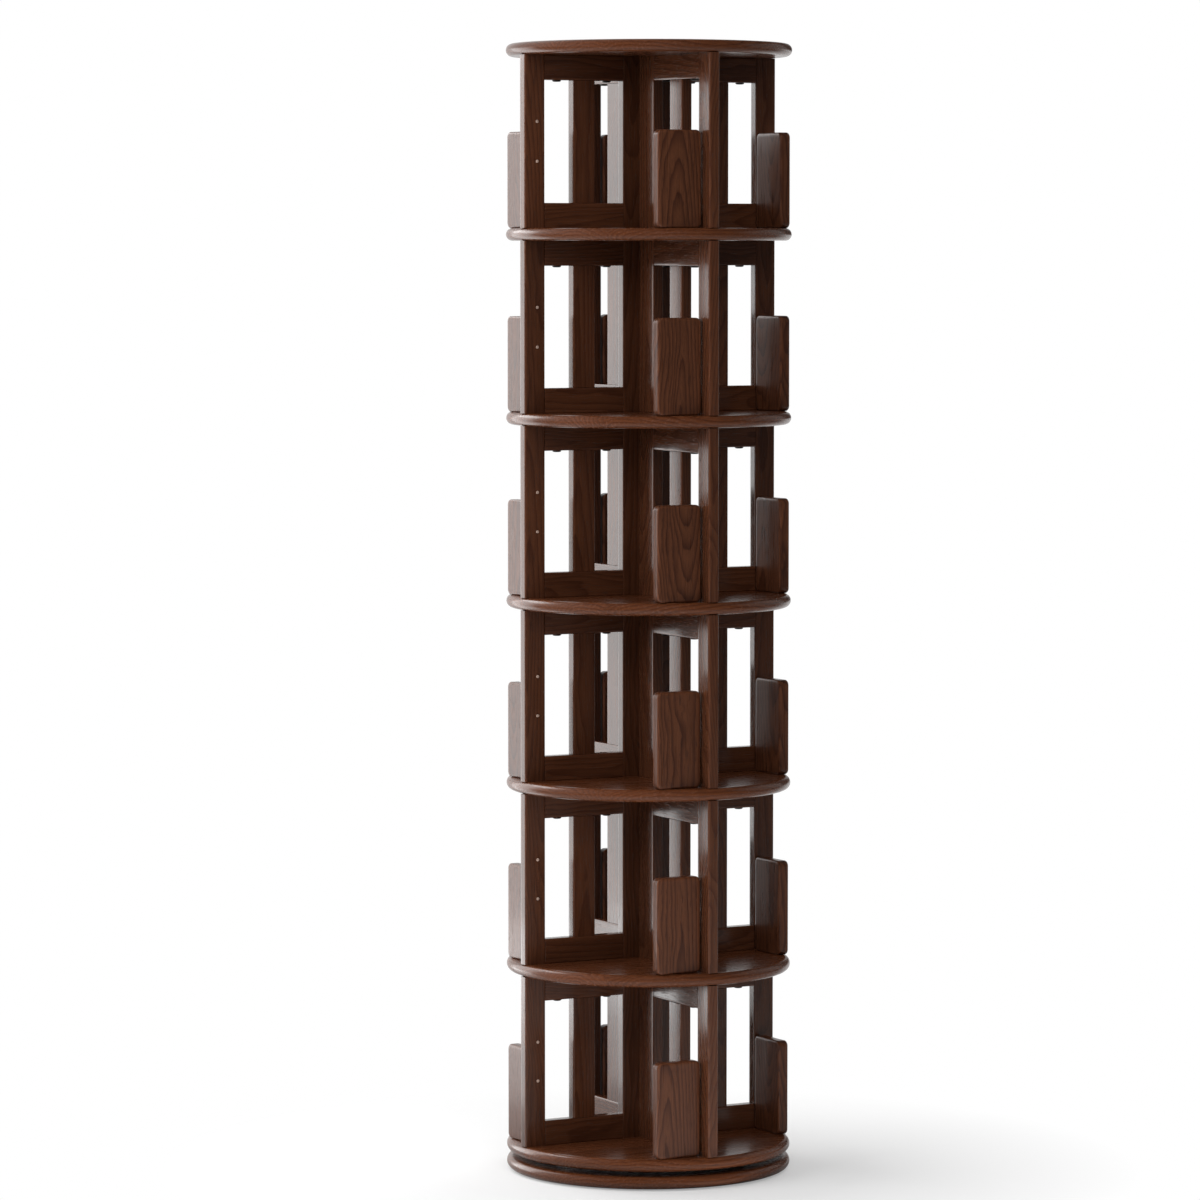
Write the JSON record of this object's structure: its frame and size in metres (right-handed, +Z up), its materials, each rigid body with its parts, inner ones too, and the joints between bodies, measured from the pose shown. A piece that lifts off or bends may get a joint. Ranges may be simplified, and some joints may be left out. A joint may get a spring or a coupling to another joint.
{
  "type": "revolving bookcase",
  "caption": "Tall free-standing revolving bookcase: round boards with slatted pinwheel panels and low book stops between them, turning on a ball-race base.",
  "frame": {"origin": "on the floor at the turning axis", "axes": "+Z up along the turning axis, -Y along the front panel, towards its outer end"},
  "size_m": [0.4599, 0.46, 1.82],
  "materials": {
    "board_wood": "dark walnut stain, satin lacquer",
    "base_wood": "dark walnut stain, satin lacquer",
    "panel_wood": "dark walnut stain, satin lacquer",
    "stop_wood": "dark walnut stain, open grain, satin lacquer",
    "race_steel": "zinc plated",
    "ball_steel": "polished",
    "felt": "pressed felt"
  },
  "bodies": {
    "base": {"base_board": "base_wood", "foot_pads": "felt", "lower_race": "race_steel"},
    "ball_ring": {"bearing_balls": "ball_steel"},
    "carousel": {"upper_race": "race_steel", "bottom_shelf": "board_wood", "shelf_2": "board_wood", "shelf_3": "board_wood", "shelf_4": "board_wood", "shelf_5": "board_wood", "shelf_6": "board_wood", "top_board": "board_wood", "tier_1_front_panel": "panel_wood", "tier_1_left_panel": "panel_wood", "tier_1_back_panel": "panel_wood", "tier_1_right_panel": "panel_wood", "tier_2_front_panel": "panel_wood", "tier_2_left_panel": "panel_wood", "tier_2_back_panel": "panel_wood", "tier_2_right_panel": "panel_wood", "tier_3_front_panel": "panel_wood", "tier_3_left_panel": "panel_wood", "tier_3_back_panel": "panel_wood", "tier_3_right_panel": "panel_wood", "tier_4_front_panel": "panel_wood", "tier_4_left_panel": "panel_wood", "tier_4_back_panel": "panel_wood", "tier_4_right_panel": "panel_wood", "tier_5_front_panel": "panel_wood", "tier_5_left_panel": "panel_wood", "tier_5_back_panel": "panel_wood", "tier_5_right_panel": "panel_wood", "tier_6_front_panel": "panel_wood", "tier_6_left_panel": "panel_wood", "tier_6_back_panel": "panel_wood", "tier_6_right_panel": "panel_wood", "tier_1_book_stops": "stop_wood", "tier_2_book_stops": "stop_wood", "tier_3_book_stops": "stop_wood", "tier_4_book_stops": "stop_wood", "tier_5_book_stops": "stop_wood", "tier_6_book_stops": "stop_wood"}
  },
  "joints": [
    {"name": "spin", "type": "hinge", "parent": "base", "child": "carousel", "pos_m": [0, 0, 0.026], "axis": [0, 0, 1], "continuous": true},
    {"name": "ball_orbit", "type": "hinge", "parent": "base", "child": "ball_ring", "pos_m": [0, 0, 0.026], "axis": [0, 0, 1], "continuous": true}
  ],
  "couplings": [
    {"joint": "ball_orbit", "follows": "spin", "ratio": 0.5}
  ]
}
